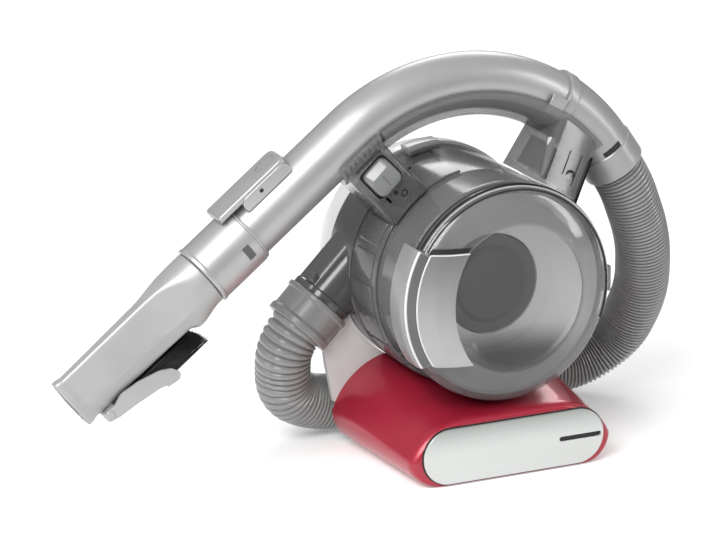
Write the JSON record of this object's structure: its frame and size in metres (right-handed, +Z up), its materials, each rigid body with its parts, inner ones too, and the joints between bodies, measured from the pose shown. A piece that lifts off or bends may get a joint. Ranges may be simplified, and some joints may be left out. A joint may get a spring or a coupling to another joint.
{
  "type": "handheld vacuum",
  "caption": "Cordless handheld vacuum: drum body on a battery base, wrap-around stretch hose, arched wand lying in the handle, crevice nozzle with flip brush.",
  "frame": {"origin": "centre of the base's underside, straight below the drum's axis", "axes": "+X towards the hose elbow, -Y towards the front plate and the bowl door, +Z up"},
  "size_m": [0.4728, 0.1822, 0.2761],
  "materials": {
    "red_shell": "deep red glossy moulding",
    "silver_plate": "satin silver",
    "light_grey": "satin light grey moulding",
    "smoke": "smoky tinted translucent moulding",
    "clear_smoke": "clear smoky polycarbonate",
    "dark_grey": "dark grey moulding",
    "wand_silver": "silver metallic gloss",
    "nozzle_grey": "mid grey satin",
    "hose_grey": "grey flexible ribbed hose",
    "bristle": "black nylon bristles",
    "steel": "plain steel",
    "cell_wrap": "shrink-wrapped cells",
    "board": "green laminate",
    "filter_cloth": "white pleated filter paper",
    "seal": "black seal",
    "foam": "open-cell foam"
  },
  "bodies": {
    "body": {"base_shell": "red_shell", "base_plate": "silver_plate", "charge_indicator": "dark_grey", "rear_flange": "light_grey", "battery_cells": "cell_wrap", "battery_tray": "dark_grey", "circuit_board": "board", "bowl_shell": "smoke", "door_hinge_pin": "steel", "transition_ring": "smoke", "inlet_duct": "dark_grey", "hose_cuff": "dark_grey", "rear_housing": "light_grey", "motor_mount": "dark_grey", "motor_can": "steel", "motor_bracket": "dark_grey", "exhaust_foam": "foam", "baffle_disc": "dark_grey", "filter_core": "dark_grey", "filter_pleats": "filter_cloth", "filter_plate": "dark_grey", "filter_seal": "seal", "handle_cradle": "smoke", "switch_bracket": "smoke", "support_bracket": "clear_smoke", "bracket_screw": "steel", "hose": "hose_grey"},
    "rotor": {"motor_shaft": "steel", "fan_impeller": "dark_grey"},
    "cleaner": {"filter_tab": "dark_grey", "agitator_ring": "dark_grey"},
    "door": {"door_ring": "smoke", "door_window": "clear_smoke", "door_gasket": "seal", "latch_panel": "silver_plate", "latch_pin": "steel"},
    "latch": {"latch_lever": "silver_plate"},
    "switch": {"switch_button": "wand_silver"},
    "wand": {"wand_tube": "wand_silver", "elbow_sleeve": "nozzle_grey", "nozzle_collar": "wand_silver", "rocker_pin": "steel"},
    "rocker": {"rocker_latch": "nozzle_grey"},
    "nozzle": {"crevice_nozzle": "nozzle_grey", "brush_pin": "steel"},
    "brush": {"brush_carrier": "nozzle_grey", "brush_bristles": "bristle"}
  },
  "joints": [
    {"name": "rotor_spin", "type": "hinge", "parent": "body", "child": "rotor", "pos_m": [0, 0.08, 0.124], "axis": [0, 1, 0], "continuous": true},
    {"name": "filter_clean", "type": "hinge", "parent": "body", "child": "cleaner", "pos_m": [0, 0.045, 0.124], "axis": [0, 1, 0], "range_deg": [0, 25]},
    {"name": "door_swing", "type": "hinge", "parent": "body", "child": "door", "pos_m": [0.0778, -0.034, 0.124], "axis": [0, 0, 1], "range_deg": [0, 100]},
    {"name": "latch_press", "type": "hinge", "parent": "door", "child": "latch", "pos_m": [-0.0769, -0.06, 0.124], "axis": [0, 0, 1], "range_deg": [0, 12], "stiffness_Nm_per_rad": 0.05},
    {"name": "switch_slide", "type": "slide", "parent": "body", "child": "switch", "axis": [-0.682, 0, 0.7314], "range_m": [0, 0.006]},
    {"name": "wand_lift", "type": "slide", "parent": "body", "child": "wand", "axis": [0, 0, 1], "range_m": [0, 0.08], "deforming": ["hose"]},
    {"name": "rocker_press", "type": "hinge", "parent": "wand", "child": "rocker", "pos_m": [-0.15742, 0, 0.20248], "axis": [0, 1, 0], "range_deg": [0, 5], "stiffness_Nm_per_rad": 0.1},
    {"name": "nozzle_slide", "type": "slide", "parent": "wand", "child": "nozzle", "axis": [-0.7859, 0, -0.6184], "range_m": [0, 0.05]},
    {"name": "brush_flip", "type": "hinge", "parent": "nozzle", "child": "brush", "pos_m": [-0.26521, 0, 0.06294], "axis": [0, 1, 0], "range_deg": [0, 160]}
  ]
}
